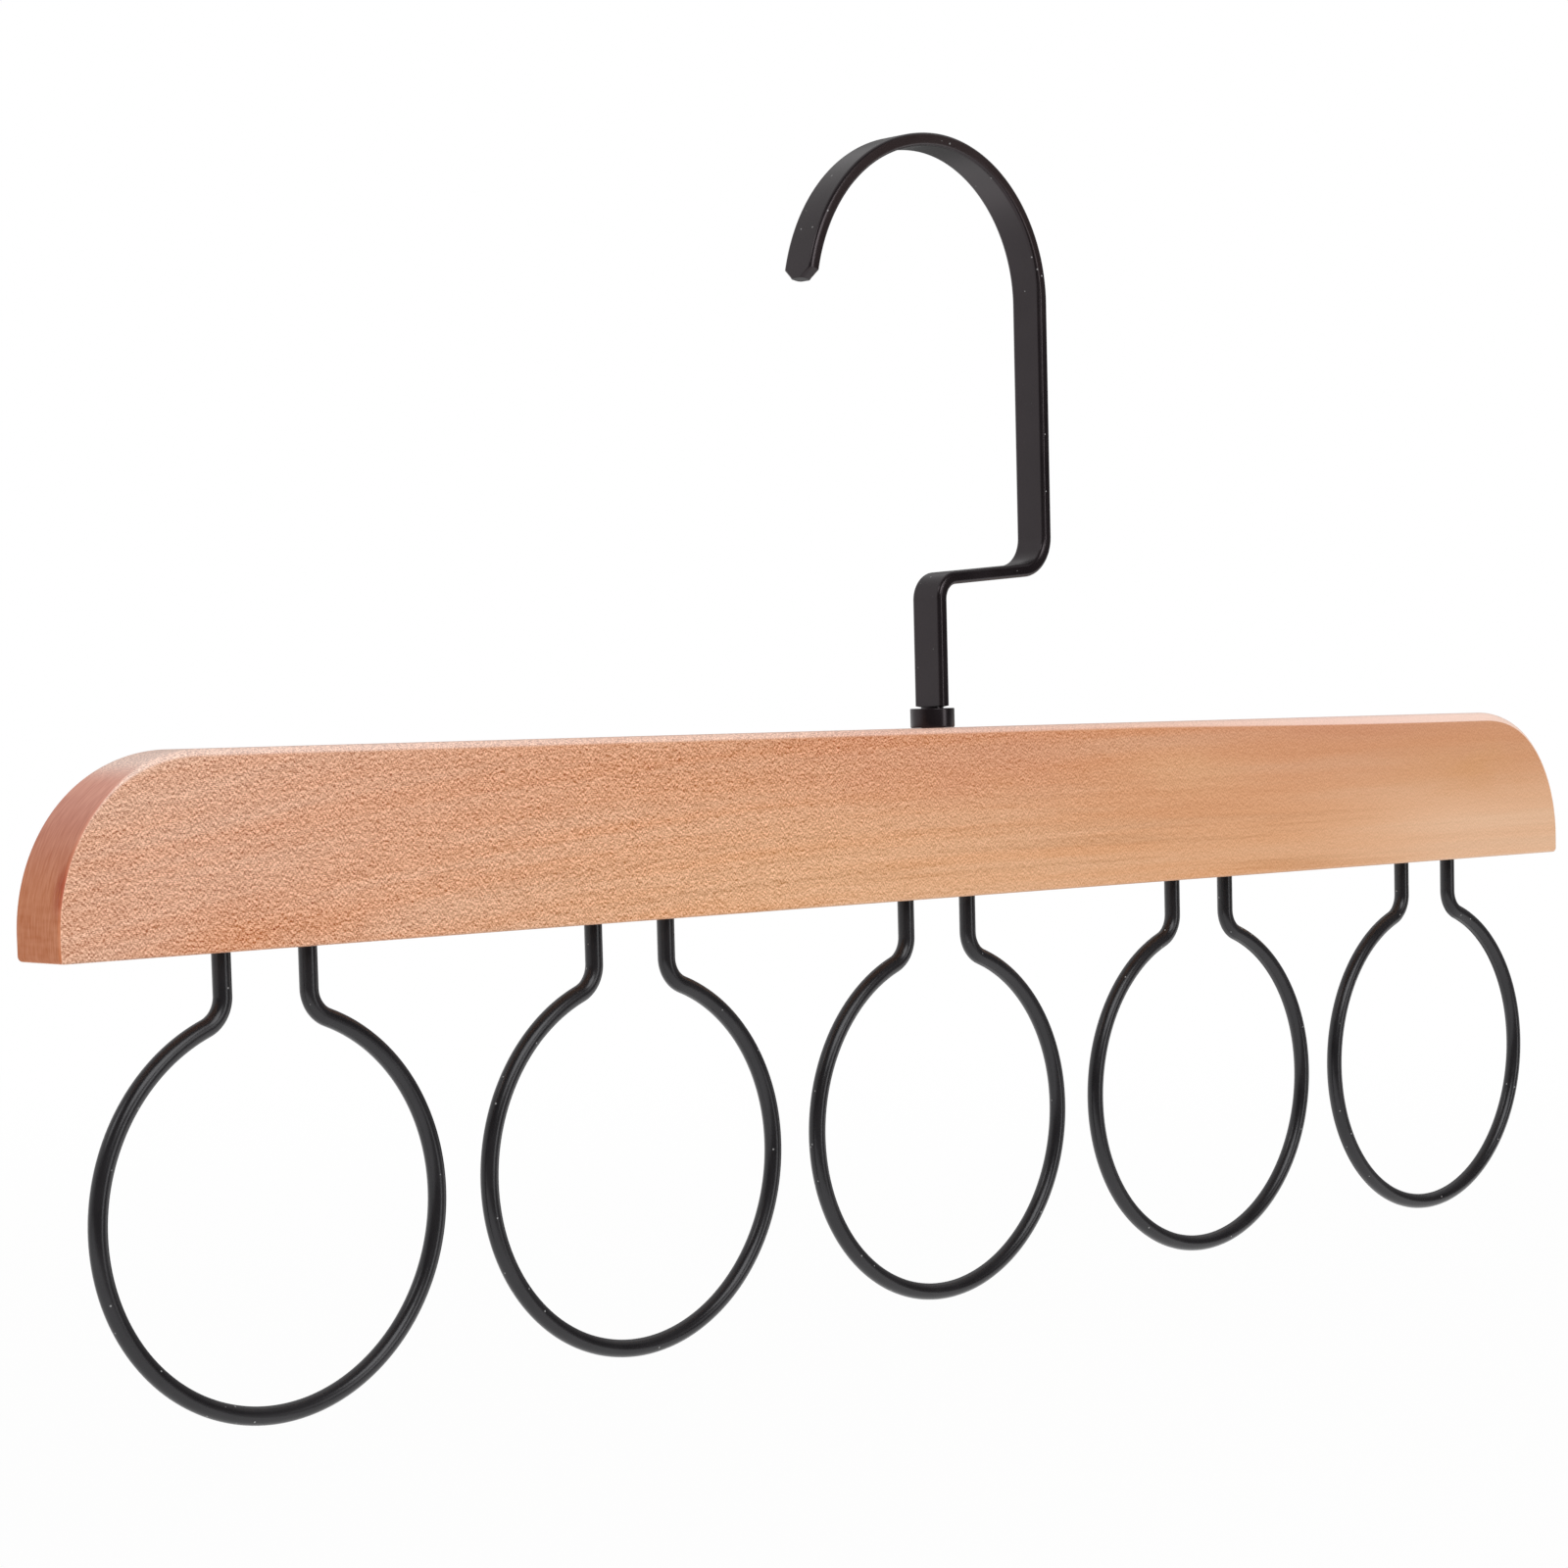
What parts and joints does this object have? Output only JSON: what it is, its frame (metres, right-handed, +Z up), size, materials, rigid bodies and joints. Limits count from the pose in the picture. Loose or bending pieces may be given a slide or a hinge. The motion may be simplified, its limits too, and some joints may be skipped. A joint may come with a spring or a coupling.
{
  "type": "tie and belt hanger",
  "caption": "Flat wooden bar with a row of wire rings below it for ties and belts, and a flat steel swivel hook above it.",
  "frame": {"origin": "the point under the hook's crown that rests on a rail, straight above the swivel axis", "axes": "+X along the bar, +Y from its front face to its back face, +Z up from the bar to the hook"},
  "size_m": [0.4, 0.013, 0.2257],
  "materials": {
    "bar_wood": "satin lacquer over fine pinkish tan grain",
    "black_steel": "satin black powder coat",
    "black_wire": "satin black powder coat",
    "black_collar": "satin black powder coat",
    "plain_steel": "plain turned steel"
  },
  "bodies": {
    "hook": {"hook": "black_steel", "retaining_washer": "plain_steel"},
    "bar": {"wooden_bar": "bar_wood", "swivel_collar": "black_collar", "threaded_insert": "plain_steel", "ring_1": "black_wire", "ring_2": "black_wire", "ring_3": "black_wire", "ring_4": "black_wire", "ring_5": "black_wire"}
  },
  "joints": [
    {"name": "hook_swivel", "type": "hinge", "parent": "hook", "child": "bar", "pos_m": [0, 0, -0.1073], "axis": [0, 0, 1], "continuous": true}
  ]
}
